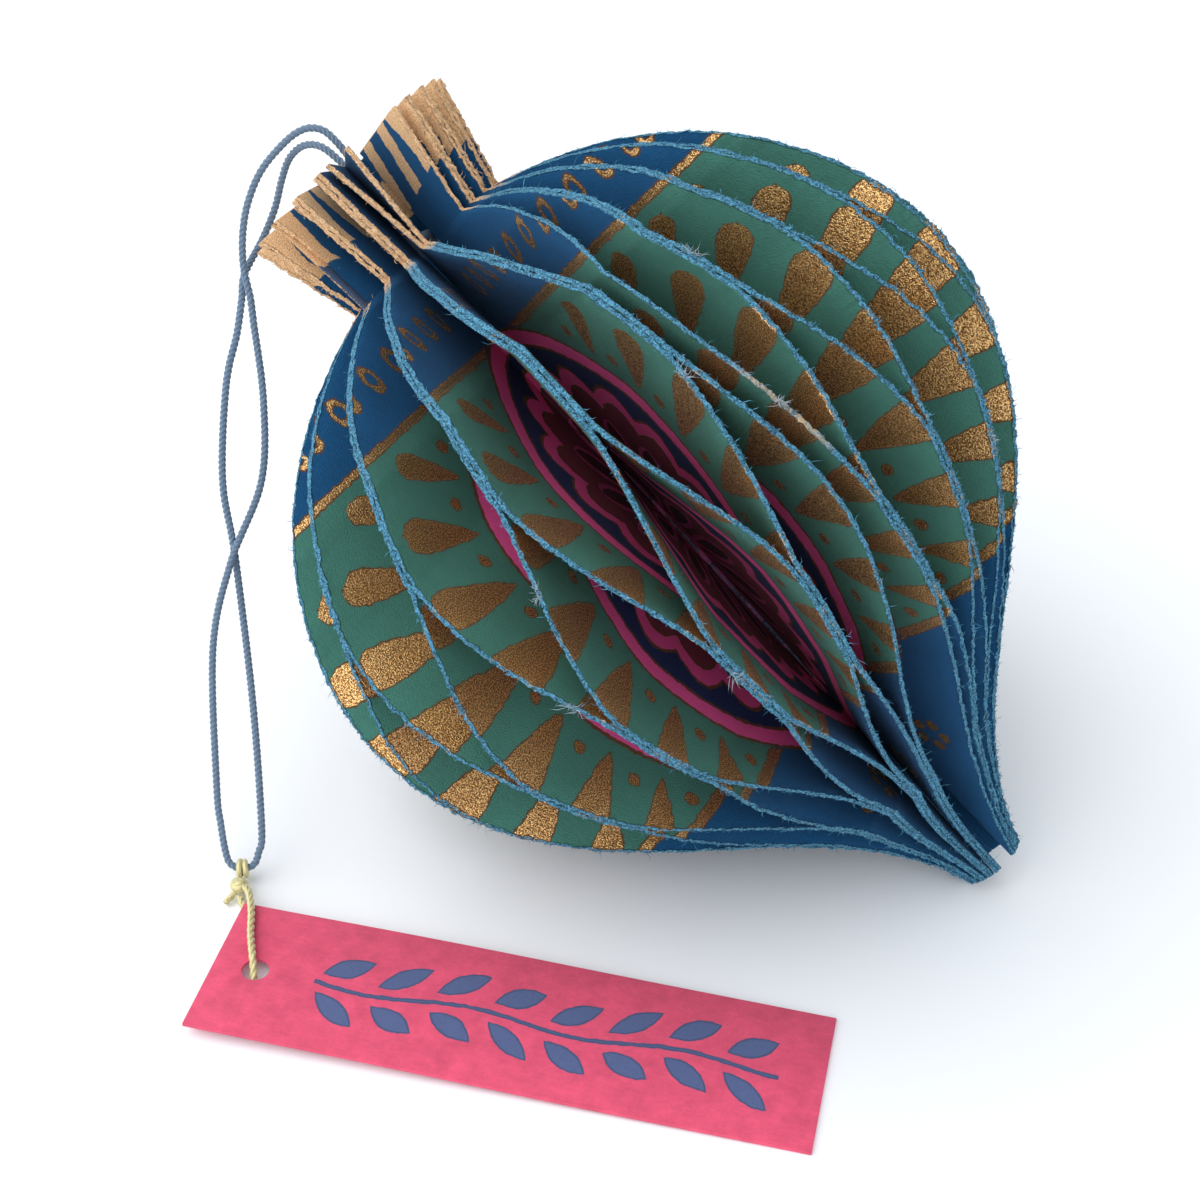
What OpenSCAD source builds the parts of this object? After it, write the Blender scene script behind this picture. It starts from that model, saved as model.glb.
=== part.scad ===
// Honeycomb paper bauble. Cut paper leaves stand side by side round one axis and are glued in rows, by
// turns to the leaf on one side and to the leaf on the other. It lies on its belly and its tip, with the
// cap raised towards -X, and the tag lies beside it. Millimetres, +Z up.

/* [Leaves] */
// Paper leaves in the whole bauble, an odd number
leaf_count = 37; // [29:2:41]
// Thickness of a leaf at its outer edge
edge_t = 0.75; // [0.4:0.05:0.9]
// Thickness of a leaf where it is pressed at the spine
spine_t = 0.5; // [0.3:0.05:0.55]
// Play between neighbouring leaves at the spine
spine_play = 0.05; // [0.03:0.01:0.1]

/* [Outline of a leaf] */
// Radius of the body at the belly
belly_r = 48; // [40:0.5:60]
// Radius of the neck under the cap
neck_r = 12; // [10:0.5:16]
// Height of the cap above the neck
cap_h = 14; // [8:0.5:24]
// Radius of the cap at its rim
rim_r = 15.6; // [12:0.2:24]
// Distance from the neck down to the belly
belly_drop = 41.5; // [36:0.5:50]
// Distance from the neck down to the tip
tip_drop = 107; // [98:0.5:130]
// Width of a leaf at its tip
tip_w = 0.6; // [0.4:0.1:2]
// Distance below the neck over which the shoulder swings out
shoulder_drop = 10; // [6:0.5:14]
// How far the shoulder swings out over that distance
shoulder_spread = 35; // [28:0.5:38]
// Distance above the belly over which the shoulder runs straight down
belly_ease = 2; // [1:0.5:6]
// Distance below the belly over which the foot runs straight down
foot_ease = 30; // [20:1:36]
// Distance above the tip over which the foot tapers to it
foot_taper = 23.5; // [16:0.5:30]
// How much wider than the tip the foot is where that taper starts
foot_spread = 6.6; // [4:0.2:10]

/* [Glue rows] */
// Distance from the neck down to the end of the upper row, which starts at the rim
upper_end = 28; // [20:0.5:34]
// Distance from the neck down to the start of the middle row
middle_start = 53.5; // [48:0.5:58]
// Distance from the neck down to the end of the middle row
middle_end = 67; // [62:0.5:72]
// Distance from the neck down to the start of the lowest row, which ends at the tip
lowest_start = 84.5; // [78:0.5:92]

/* [Fan] */
// Angle that stays open at the seam between the two end leaves, at the belly
seam_open = 0.6; // [0.4:0.1:4]
// Angle that the seam opens by at the rim of the cap
rim_open = 31; // [0:1:36]
// Angle that the seam opens by at the tip
tip_open = 32; // [0:1:36]
// Angle by which the leaves crowd towards the seam from both sides
crowd = 13.2; // [0:0.1:15]
// Angle by which the crowding is sharper near the seam
crowd_near = 2.3; // [0:0.1:4]
// Angle by which the crowding is stronger on one side of the seam
crowd_side = 5; // [0:0.1:6]
// Radial distance from the spine over which the crowding sets in
crowd_reach = 12; // [8:0.5:20]
// Angle by which the last pair of leaves is parted at the rim
rim_part = 5; // [0:0.5:6]

/* [Hanging cord] */
// Diameter of the blue cord
cord_d = 1; // [0.6:0.1:1.4]
// Diameter of the knot that holds the cord in the core
core_knot_d = 6.4; // [4:0.1:6.6]

/* [Tag] */
// Length of the card tag
tag_l = 76; // [50:1:90]
// Width of the card tag
tag_w = 20.8; // [16:0.2:26]
// Thickness of the card
tag_t = 0.5; // [0.3:0.1:1]
// Diameter of the punched hole
tag_hole_d = 3.4; // [2.6:0.2:5]
// Distance from the short edge to the middle of the hole
tag_hole_inset = 5.4; // [4:0.2:8]
// Diameter of the gold thread that ties the tag
thread_d = 1; // [0.6:0.1:1]

/* [Hidden] */
function leaf_name(i) = str("leaf_", i < 9 ? "0" : "", i + 1);

cord_blue = [0.34, 0.42, 0.55];
printed_paper = [0.2, 0.46, 0.5];
tag_red = [0.86, 0.25, 0.4];
thread_gold = [0.85, 0.78, 0.42];

// Radius of the hollow core, which the spine edges of all leaves leave open
core_r = leaf_count * (spine_t + spine_play) * 180 / (PI * (360 - max(rim_open, tip_open)));
tip_r = core_r + tip_w;

// Outline of a leaf, as distance down from the neck and radius
SHOULDER = [[0, neck_r], [shoulder_drop, neck_r + shoulder_spread], [belly_drop - belly_ease, belly_r],
    [belly_drop, belly_r]];
FOOT = [[belly_drop, belly_r], [belly_drop + foot_ease, belly_r],
    [tip_drop - foot_taper, tip_r + foot_spread], [tip_drop, tip_r]];
function bezier(p, t) = pow(1 - t, 3) * p[0] + 3 * pow(1 - t, 2) * t * p[1]
    + 3 * (1 - t) * t * t * p[2] + t * t * t * p[3];
function bezier_at(p, s, low = 0, high = 1, steps = 20) =
    let (mid = (low + high) / 2)
    steps == 0 ? bezier(p, mid)[1]
    : bezier(p, mid)[0] < s ? bezier_at(p, s, mid, high, steps - 1)
    : bezier_at(p, s, low, mid, steps - 1);
function outline_r(s) = s <= 0 ? neck_r - (rim_r - neck_r) * s / cap_h
    : s < belly_drop ? bezier_at(SHOULDER, s)
    : s < tip_drop ? bezier_at(FOOT, s)
    : tip_r;

// Stations down a leaf: close together at the neck, and one at each end of a glue row
function steps(from, to, n) = [for (k = [0:n - 1]) from + (to - from) * k / n];
neck_steps = 9;
STATIONS = concat(
    steps(-cap_h, 0, 3),
    [for (k = [0:neck_steps - 1]) upper_end * pow(k / neck_steps, 1.8)],
    steps(upper_end, middle_start, 8),
    steps(middle_start, middle_end, 4),
    steps(middle_end, lowest_start, 6),
    steps(lowest_start, tip_drop, 6),
    [tip_drop]);
RADII = [for (s = STATIONS) outline_r(s)];
last = len(STATIONS) - 1;

// How far the seam opens above the belly, which all leaves share, and below it, where the nearest leaves
// give way most: shares of the full opening at distances down from the neck
NECK_OPENING = [[-cap_h, 1], [0, 0.8], [6, 0.4], [17, 0]];
FOOT_OPENING = [[48, 0], [58, 0.07], [66, 0.2], [86, 0.66], [tip_drop, 1]];
function neck_gap(s) = rim_open * lookup(s, NECK_OPENING);
function foot_gap(s) = tip_open * lookup(s, FOOT_OPENING);

// Turn round the axis of place x in the row of leaves, where 0 is the first leaf and 0.5 lies between the
// first and the second. The fan turn holds at the outer edge, the spine turn at the core.
function near_seam(t) = sign(1 - 2 * t) * pow(abs(1 - 2 * t), 5);
function free_fan(x, s) =
    let (t = x / (leaf_count - 1))
    seam_open / 2 + (360 - seam_open) * t - crowd * sin(360 * t) - crowd_near * sin(720 * t)
    - crowd_side * (1 - cos(360 * t))
    + neck_gap(s) * (0.5 - t) + foot_gap(s) * near_seam(t) / 2;
function free_spine(x, s) =
    let (t = (x + 0.5) / leaf_count)
    360 * t + (neck_gap(s) + foot_gap(s)) * (0.5 - t);

// The pair of leaves that the bauble lies on points straight down
rest_place = 2 * round(0.3 * (leaf_count - 1)) - 0.5;
seam_turn = 360 - free_fan(rest_place, middle_end);
function spine_turn(x, s) = seam_turn + free_spine(x, s);
function crowding(r) = min(1, (r - core_r) / crowd_reach);
function edge_turn(x, s, r) = spine_turn(x, s)
    + crowding(r) * (free_fan(x, s) - free_spine(x, s));

// Place in the row that leaf i takes at each glue row, and the side of the glued face that it lies on:
// -1 before it, 1 behind it, 0 where an end leaf is free
function is_first(i) = i == 0;
function is_end(i) = i == leaf_count - 1;
function outer_place(i) = is_first(i) ? 0 : i % 2 == 1 ? i + 0.5 : i - 0.5;
function outer_side(i) = is_first(i) ? 0 : i % 2 == 1 ? -1 : 1;
function middle_place(i) = is_end(i) ? i : i % 2 == 0 ? i + 0.5 : i - 0.5;
function middle_side(i) = is_end(i) ? 0 : i % 2 == 0 ? -1 : 1;

// Share of the way from the outer rows to the middle row, with a soft start and end
softness = 0.3;
function soft(u) = (1 - softness) * u + softness * u * u * (3 - 2 * u);
function middle_share(s) = s <= upper_end ? 0
    : s < middle_start ? soft((s - upper_end) / (middle_start - upper_end))
    : s <= middle_end ? 1
    : s < lowest_start ? 1 - soft((s - middle_end) / (lowest_start - middle_end))
    : 0;
function rim_parting(i, s) = s >= 0 ? 0
    : is_end(i) ? -0.8 * rim_part * s / cap_h
    : i == leaf_count - 2 ? rim_part * s / cap_h
    : 0;

// A point in the bauble's own frame: along the axis towards the cap, downwards and to the viewer's side
function polar(s, r, turn, off) = [-s, r * cos(turn) - off * sin(turn), r * sin(turn) + off * cos(turn)];

// The four corners of leaf i at one station: spine before, spine behind, edge behind, edge before
function thickness(r) = spine_t + (edge_t - spine_t) * crowding(r);
function corners(i, k) =
    let (
        s = STATIONS[k],
        r = RADII[k],
        m = middle_share(s),
        x = (1 - m) * outer_place(i) + m * middle_place(i),
        side = (1 - m) * outer_side(i) + m * middle_side(i),
        inner = spine_turn(x, s),
        outer = edge_turn(x, s, r) + rim_parting(i, s),
        t = thickness(r))
    [polar(s, core_r, inner, (side - 1) * spine_t / 2),
     polar(s, core_r, inner, (side + 1) * spine_t / 2),
     polar(s, r, outer, (side + 1) * t / 2),
     polar(s, r, outer, (side - 1) * t / 2)];
LEAVES = [for (i = [0:leaf_count - 1]) [for (k = [0:last]) each corners(i, k)]];

// The bauble lies on its belly and its tip: rest_tilt raises the cap until both touch the table
tip_reach = max([for (leaf = LEAVES) for (j = [4 * last:4 * last + 3]) leaf[j][1]]);
rest_tilt = max([for (leaf = LEAVES) for (j = [0:4 * last - 1])
    atan2(leaf[j][1] - tip_reach, tip_drop + leaf[j][0])]);
function tilted(p) = [-cos(rest_tilt) * p[0] - sin(rest_tilt) * p[1], -p[2],
    sin(rest_tilt) * p[0] - cos(rest_tilt) * p[1]];
TILTED = [for (leaf = LEAVES) [for (p = leaf) tilted(p)]];
function low(axis) = min([for (leaf = TILTED) for (p = leaf) p[axis]]);
function high(axis) = max([for (leaf = TILTED) for (p = leaf) p[axis]]);
home = [(low(0) + high(0)) / 2, (low(1) + high(1)) / 2, low(2)];

// Two triangles between corner rows a and b of a leaf, with the same diagonal on both of its faces
function strip(j, a, b) = [[j + a, j + b + 4, j + b], [j + a, j + a + 4, j + b + 4]];
LEAF_FACES = concat(
    [[0, 2, 3], [0, 1, 2]],
    [for (k = [0:last - 1]) each strip(4 * k, 0, 1)],
    [for (k = [0:last - 1]) each strip(4 * k, 1, 2)],
    [for (k = [0:last - 1]) each strip(4 * k, 2, 3)],
    [for (k = [0:last - 1]) let (j = 4 * k) each [[j + 3, j + 7, j], [j, j + 7, j + 4]]],
    [[4 * last, 4 * last + 2, 4 * last + 1], [4 * last, 4 * last + 3, 4 * last + 2]]);

// Route of the hanging cord: out of the core, over the rim, down to its bend at the tag, and back up
CORD = [
    [-34, 0.6, 73], [-42.5, 1, 80], [-45.5, 1, 82.8], [-47.3, 0.7, 84], [-49.2, -0.2, 84],
    [-51, -1.8, 82.6], [-53, -4.5, 79.5], [-53.7, -7, 76], [-53.5, -9, 72.5], [-52.5, -10.8, 69],
    [-50.9, -12.2, 66], [-50, -13.2, 63], [-46.8, -17, 54.5], [-45, -21.5, 45.5],
    [-46.2, -28, 36.5], [-46.2, -33.5, 26.5], [-41.8, -41.5, 11.2], [-40.1, -43.7, 7],
    [-38.9, -44.9, 3.7], [-37.9, -45.4, 2.4], [-36.4, -45, 1.9], [-35.2, -44.1, 2.4],
    [-35, -43.1, 3.8], [-35.3, -41.5, 6.9], [-40, -34.5, 21], [-46.5, -26.5, 36.5],
    [-49.5, -23.5, 45.5], [-51.6, -18, 56], [-51.8, -14.5, 61.5], [-52.4, -12, 65], [-53.2, -9.8, 67.4],
    [-53.4, -5, 70.2], [-53.2, -2.2, 73.2], [-52.4, -1.3, 77], [-51.2, -1, 80],
    [-49.2, -0.8, 82], [-47, -0.5, 82.4], [-44.8, -0.4, 81.4], [-42.3, -0.4, 79.4], [-34, -0.7, 72.4]];
// Route of the thread: out of its knot, over the tag, down through the hole, and back under the tag
THREAD = [
    [-34.1, -47.8, 2.1], [-33.2, -48.4, 2.5], [-32, -49.6, 2.6], [-30.4, -51.7, 2.6], [-28.6, -54.5, 2.5],
    [-26.4, -57.4, 2.6], [-25.3, -58.9, 1.6], [-24.5, -60, 0.8], [-23, -60.9, 0.6],
    [-21.3, -60.5, 0.6], [-20.4, -59, 0.6], [-20.8, -57.3, 0.6], [-23, -54.9, 0.6], [-26, -52.6, 0.6],
    [-29.5, -50.8, 0.6], [-33.4, -49.4, 0.6], [-34.4, -48.5, 0.8]];
// The knot beside the bend of the cord, its free end, and the turn of thread that lies round the cord
THREAD_KNOT = [-35.3, -47.4, 1.4];
thread_knot_d = 2.4;
FREE_END = [[-35.4, -48.6, 0.9], [-35.6, -50.2, 0.6]];
CORD_BEND = [-36.4, -45, 1.9];
wrap_d = 0.8 * thread_d;
wrap_play = 0.05;
wrap_turn = 26;
// Middle of the tag's hole on the table, and the turn of the tag seen from above
TAG_HOLE = [-25, -58.9];
tag_turn = 13.5;
// The tag lies on the thread that passes under it, and on its far short edge
thread_reach = 10.5;
tag_lift = atan((thread_d + 0.2) / (tag_l - thread_reach));

// A smooth curve through the points of a route, with n steps from each point to the next
function spline(p, j, t) =
    let (
        a = p[max(0, j - 1)],
        b = p[j],
        c = p[j + 1],
        d = p[min(len(p) - 1, j + 2)])
    0.5 * (2 * b + (c - a) * t + (2 * a - 5 * b + 4 * c - d) * t * t
        + (3 * b - a - 3 * c + d) * t * t * t);
function smooth(p, n) = concat([for (j = [0:len(p) - 2]) for (k = [0:n - 1]) spline(p, j, k / n)],
    [p[len(p) - 1]]);
function unit(v) = v / norm(v);
// Both cords lie roughly in a plane that faces this way
FACING = [0.35, -0.72, 0.6];
cord_sides = 8;
function ring(c, j, d) =
    let (
        along = unit(c[min(len(c) - 1, j + 1)] - c[max(0, j - 1)]),
        across = unit(cross(along, FACING)),
        third = cross(along, across))
    [for (k = [0:cord_sides - 1])
        c[j] + d / 2 * (cos(360 * k / cord_sides) * across + sin(360 * k / cord_sides) * third)];
module tube(route, d, n) {
    c = smooth(route, n);
    m = cord_sides;
    end = m * (len(c) - 1);
    polyhedron(
        [for (j = [0:len(c) - 1]) each ring(c, j, d)],
        concat(
            [[for (k = [0:m - 1]) k]],
            [for (j = [0:m:end - 1]) for (k = [0:m - 1]) each [
                [j + k, j + m + k, j + m + (k + 1) % m],
                [j + k, j + m + (k + 1) % m, j + (k + 1) % m]]],
            [[for (k = [m - 1:-1:0]) end + k]]),
        convexity = 12);
}

module leaf(i) {
    color(printed_paper)
        polyhedron([for (p = TILTED[i]) p - home], LEAF_FACES, convexity = 8);
}

// The cord is knotted in the core, below the cap, and is glued there between the leaves
module hanging_cord() {
    color(cord_blue) {
        tube(CORD, cord_d, 2);
        translate(-home) sphere(d = core_knot_d, $fn = 32);
    }
}

module tag_thread() {
    color(thread_gold) {
        tube(THREAD, thread_d, 2);
        translate(THREAD_KNOT) sphere(d = thread_knot_d, $fn = 24);
        tube(FREE_END, 0.9 * thread_d, 1);
        translate(CORD_BEND)
            rotate([0, 90, wrap_turn])
                rotate_extrude($fn = 32)
                    translate([cord_d / 2 + wrap_d / 2 + wrap_play, 0])
                        circle(d = wrap_d, $fn = 12);
    }
}

module tag() {
    color(tag_red)
        translate([TAG_HOLE[0], TAG_HOLE[1], 0])
            rotate([0, 0, tag_turn])
                translate([tag_l - tag_hole_inset, 0, 0])
                    rotate([0, tag_lift, 0])
                        translate([-tag_l, -tag_w / 2, 0])
                            difference() {
                                cube([tag_l, tag_w, tag_t]);
                                translate([tag_hole_inset, tag_w / 2, -1])
                                    cylinder(d = tag_hole_d, h = tag_t + 2, $fn = 48);
                            }
}

for (i = [0:leaf_count - 1]) leaf(i);
hanging_cord();
tag_thread();
tag();
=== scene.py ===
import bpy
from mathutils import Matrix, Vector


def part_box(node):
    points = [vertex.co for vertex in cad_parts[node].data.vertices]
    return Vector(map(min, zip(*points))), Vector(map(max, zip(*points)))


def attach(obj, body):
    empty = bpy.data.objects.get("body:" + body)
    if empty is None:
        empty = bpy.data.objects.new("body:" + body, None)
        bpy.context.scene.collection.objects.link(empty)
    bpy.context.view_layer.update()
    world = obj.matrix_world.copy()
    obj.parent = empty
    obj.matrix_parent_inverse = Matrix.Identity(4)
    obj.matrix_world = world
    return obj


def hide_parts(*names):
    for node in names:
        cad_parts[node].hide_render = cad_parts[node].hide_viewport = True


bl_info = {
    "name": "Honeycomb Paper Bauble",
    "version": (1, 0, 0),
    "blender": (4, 5, 0),
    "location": "3D View > Sidebar > Bauble",
    "description": "Dresses a honeycomb paper bauble in printed rag paper, with its cord, thread and tag",
    "category": "Object",
}

import math

import bpy
import numpy as np
from mathutils import Matrix, Vector, noise

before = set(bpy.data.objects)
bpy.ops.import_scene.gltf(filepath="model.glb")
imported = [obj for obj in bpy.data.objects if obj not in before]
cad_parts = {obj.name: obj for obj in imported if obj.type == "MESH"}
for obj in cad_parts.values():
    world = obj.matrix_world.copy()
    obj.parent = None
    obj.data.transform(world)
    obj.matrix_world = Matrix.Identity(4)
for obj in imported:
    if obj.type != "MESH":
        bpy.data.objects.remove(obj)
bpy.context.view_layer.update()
MM = 0.001

# The bent leaves, in millimetres and degrees, as the solids have them
LEAVES = 37
EDGE_T, SPINE_T = 0.75, 0.5
CAP_H, NECK_R, RIM_R = 14.0, 12.0, 15.6
BELLY_DROP, BELLY_R, TIP_DROP = 41.5, 48.0, 107.0
SHOULDER_DROP, SHOULDER_SPREAD, BELLY_EASE = 10, 35, 2
FOOT_EASE, FOOT_TAPER, FOOT_SPREAD = 30, 23.5, 6.6
CORE_R, TIP_R = 3.5551, 4.1551
UPPER_END, MIDDLE_START, MIDDLE_END, LOWEST_START = 28.0, 53.5, 67.0, 84.5
SEAM_OPEN, RIM_OPEN, TIP_OPEN = 0.6, 31.0, 32.0
CROWD, CROWD_NEAR, CROWD_SIDE, CROWD_REACH = 13.2, 2.3, 5.0, 12.0
RIM_PART = 5.0
SEAM_TURN = 148.745
REST_TILT = 39.5454
HOME = (32.2124, -0.0395, -71.3311)
# Distances down from the neck, each with its share of the opening at the rim or at the tip
NECK_OPENING = ((-CAP_H, 1), (0, 0.8), (6, 0.4), (17, 0))
FOOT_OPENING = ((48, 0), (58, 0.07), (66, 0.2), (86, 0.66), (TIP_DROP, 1))
# Share of a smooth ease in the change from one glue row to the next
SOFTNESS = 0.3
# How quickly the opening at the tip dies away from leaf to leaf
NEAR_SEAM_POWER = 5
# Shares of RIM_PART by which the last leaves stand apart at the rim
RIM_SHARES = {LEAVES - 2: 1.0, LEAVES - 1: -0.8}
SHOULDER = ((0, NECK_R), (SHOULDER_DROP, NECK_R + SHOULDER_SPREAD), (BELLY_DROP - BELLY_EASE, BELLY_R),
            (BELLY_DROP, BELLY_R))
FOOT = ((BELLY_DROP, BELLY_R), (BELLY_DROP + FOOT_EASE, BELLY_R),
        (TIP_DROP - FOOT_TAPER, TIP_R + FOOT_SPREAD), (TIP_DROP, TIP_R))

# Millimetres to one unit of a leaf's UV map, and the leaf's own middle and half length down the sheet
UV_MM = 100
LEAF_MIDDLE, LEAF_HALF_L = (TIP_DROP - CAP_H) / 2, (TIP_DROP + CAP_H) / 2
# The print, in millimetres: gold lines down from the neck, and the green field between them
NECK_LINE, NECK_LINE_HALF_W = 14.2, 0.4
FOOT_LINE, FOOT_LINE_HALF_W = 71.8, 0.7
FIELD_MIDDLE, FIELD_HALF_L = 43.0, 28.5
SHAPES_START, SHAPES_END = 13.8, 72.2
# The disc round the middle of the spine, from its outline in: ring, band, scallops and flower
DISC_MIDDLE, DISC_R, DISC_MARGIN = 47.0, 34.0, 0.4
RING_R, RING_HALF_W, BAND_R = 32.3, 1.2, 30.6
SCALLOPS, SCALLOP_H = 10.0, 2.8
SCALLOP_RADII = (25.8, 25.2, 22.6, 22.0)
CORE_PETAL_START, CORE_PETAL_L, CORE_PETAL_HALF_W, CORE_PETAL_END = 7.0, 13.4, 3.8, 20.8
CORE_PETAL_TURN = math.pi / 8
EYE_R, EYE_HALF_W = 6.4, 0.7
# The fan of petals outside the disc, one to each slice of the turn, and the dots between them
PETAL_START, PETAL_L, PETAL_HALF_W = 35.8, 15.0, 3.55
PETAL_TURN = math.radians(12.2)
FAN_END_TURN, FAN_END_R = 0.86, 36.0
DOT_RING, DOT_R = 37.4, 0.7
# Loops round the neck, and a flower of dots near the tip
LOOP_DROP, LOOP_PITCH, LOOP_SLICE, LOOP_R, LOOP_HALF_W, LOOPS_START = 7.6, 5.4, 7.0, 1.25, 0.26, 11.0
FLOWER_DROP, FLOWER_OUT, FLOWER_R, FLOWER_TURN = 86.4, 10.6, 1.9, 2 * math.pi / 5
# Stripes of the cap with their slant, the gold corner at its rim, and where the leaves with a plain cap start
STRIPE_PITCH, STRIPE_HALF_W, STRIPE_SLANT, STRIPE_SHIFT = 4.9, 1.1, 0.34, 1.2
STRIPE_END, STRIPE_END_SLANT, CORNER_H, CORNER_R = 4.2, 0.15, 6.6, 12.8
PLAIN_CAPS_FROM, BLANK, CAP_START = 33.5, 9.0, -0.8
# The tag's sprig: its leaves stand in pairs along a waved stem
SPRIG_START, SPRIG_END, SPRIG_PITCH, STEM_HALF_W = 13.0, 70.6, 7.2, 0.34
SPRIG_LEAF_OUT, SPRIG_LEAF_HALF_L, SPRIG_LEAF_HALF_W = 3.4, 3.5, 1.5

# Routes of the hanging cord and of the tag's thread, in metres
CORD = [
    (-0.034, 0.0006, 0.073), (-0.0425, 0.001, 0.08), (-0.0455, 0.001, 0.0828),
    (-0.0473, 0.0007, 0.084), (-0.0492, -0.0002, 0.084), (-0.051, -0.0018, 0.0826),
    (-0.053, -0.0045, 0.0795), (-0.0537, -0.007, 0.076), (-0.0535, -0.009, 0.0725),
    (-0.0525, -0.0108, 0.069), (-0.0509, -0.0122, 0.066), (-0.05, -0.0132, 0.063),
    (-0.0468, -0.017, 0.0545), (-0.045, -0.0215, 0.0455), (-0.0462, -0.028, 0.0365),
    (-0.0462, -0.0335, 0.0265), (-0.0418, -0.0415, 0.0112), (-0.0401, -0.0437, 0.007),
    (-0.0389, -0.0449, 0.0037), (-0.0379, -0.0454, 0.0024), (-0.0364, -0.045, 0.0019),
    (-0.0352, -0.0441, 0.0024), (-0.035, -0.0431, 0.0038), (-0.0353, -0.0415, 0.0069),
    (-0.04, -0.0345, 0.021), (-0.0465, -0.0265, 0.0365), (-0.0495, -0.0235, 0.0455),
    (-0.0516, -0.018, 0.056), (-0.0518, -0.0145, 0.0615), (-0.0524, -0.012, 0.065),
    (-0.0532, -0.0098, 0.0674), (-0.0534, -0.005, 0.0702), (-0.0532, -0.0022, 0.0732),
    (-0.0524, -0.0013, 0.077), (-0.0512, -0.001, 0.08), (-0.0492, -0.0008, 0.082),
    (-0.047, -0.0005, 0.0824), (-0.0448, -0.0004, 0.0814), (-0.0423, -0.0004, 0.0794),
    (-0.034, -0.0007, 0.0724)]
THREAD = [
    (-0.0341, -0.0478, 0.0021), (-0.0332, -0.0484, 0.0025), (-0.032, -0.0496, 0.0026),
    (-0.0304, -0.0517, 0.0026), (-0.0286, -0.0545, 0.0025), (-0.0264, -0.0574, 0.0026),
    (-0.0253, -0.0589, 0.0016), (-0.0245, -0.06, 0.0008), (-0.023, -0.0609, 0.0006),
    (-0.0213, -0.0605, 0.0006), (-0.0204, -0.059, 0.0006), (-0.0208, -0.0573, 0.0006),
    (-0.023, -0.0549, 0.0006), (-0.026, -0.0526, 0.0006), (-0.0295, -0.0508, 0.0006),
    (-0.0334, -0.0494, 0.0006), (-0.0344, -0.0485, 0.0008)]
THREAD_KNOT = (-0.0353, -0.0474, 0.0014)
CORD_BEND = (-0.0364, -0.045, 0.0019)
CORD_D, CORD_PLIES, CORD_LAY, CORD_STEP = 0.001, 3, 0.0021, 0.00022
THREAD_D, THREAD_PLIES, THREAD_LAY, THREAD_STEP = 0.001, 3, 0.0034, 0.00018
STUB = [(-0.0353, -0.0476, 0.0013), (-0.0354, -0.0488, 0.0009), (-0.0356, -0.0502, 0.0006)]
# Knots, each with its cord's radius and its rings: a ring's radius, its two tilts and its shift
CORE_KNOT = (-0.0322, 0.0, 0.0713)
CORE_KNOT_R = CORD_D * 0.62
CORE_RINGS = [
    (0.0018, 0.3, 0.2, (0, 0, 0)), (0.002, 1.4, 1.1, (0.0002, 0, 0.0002)),
    (0.0017, 1.2, 2.4, (0, 0.0002, -0.0002)), (0.0012, 0.8, 0.6, (0, 0, 0.0008))]
THREAD_KNOT_R = 0.00044
KNOT_RINGS = [
    (0.0007, 0.5, 0.4, (0, 0, 0)), (0.00072, 1.9, 0.9, (0.0001, 0, 0)),
    (0.0006, 1.2, 2.2, (0, 0.0001, 0)), (0.00062, 0.2, 0.1, (0, -0.0002, 0.0004))]
# The turn of the cord's bend, and the rings round it: radius, further turn and place along the cord
WRAP_TURN, WRAP_R = 26, 0.00038
WRAP_RINGS = [(0.00095, 0.0, -0.0003), (0.00093, 0.2, 0.0004)]
# The tag: its card, hole and soft edges, the cuts across it that let it curl, and the curl
TAG_L, TAG_W, TAG_T = 0.076, 0.0208, 0.0005
TAG_HOLE, TAG_HOLE_INSET, TAG_HOLE_D = (-0.025, -0.0589), 0.0054, 0.0034
TAG_TURN, TAG_SOFT_EDGE = 13.5, 0.00009
TAG_CUTS, TAG_CUT_SHIFT = 16, 0.0011
TAG_CURL, TAG_RIPPLE, TAG_RIPPLE_TURN = 0.00022, 0.0001, 7
# The thread under the card lifts its end with the hole
THREAD_PLAY, THREAD_REACH = 0.0002, 0.0105
TAG_LIFT = math.degrees(math.atan((THREAD_D + THREAD_PLAY) / (TAG_L - THREAD_REACH)))

# Camera of the photograph: sensor in millimetres, focal length in the picture's pixels, turns and place
SENSOR_W, FOCAL_PIXELS, PICTURE_PIXELS = 36, 2080.5, 1200
AZIMUTH, ELEVATION, ROLL = 25.908, 36.706, 1.030
CAMERA_AT = (0.08992, -0.20039, 0.19171)

# The stage: floor, sky, and the lamps with their size, their place and the point that they face
FLOOR_W, FLOOR_COLOUR, SKY_TINT = 6, (246, 247, 250), (0.91, 0.96, 1.0)
KEY_SIZE, KEY_AT = 1.6, (-0.75, -0.4, 1.05)
FRONT_SIZE, FRONT_AT = 1.4, (0.2, -1.1, 0.65)
LIT_POINT = (0, 0, 0.04)


def linear(r, g, b):
    """A screen colour from 0 to 255 as the light that it stands for"""
    return tuple(c / 3294.6 if c <= 10.3 else ((c / 255 + 0.055) / 1.055) ** 2.4 for c in (r, g, b))


# Settings


def colour(name, text, value):
    return bpy.props.FloatVectorProperty(
        name=name, description=text, subtype="COLOR", size=3, min=0, max=1, default=linear(*value))


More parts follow.
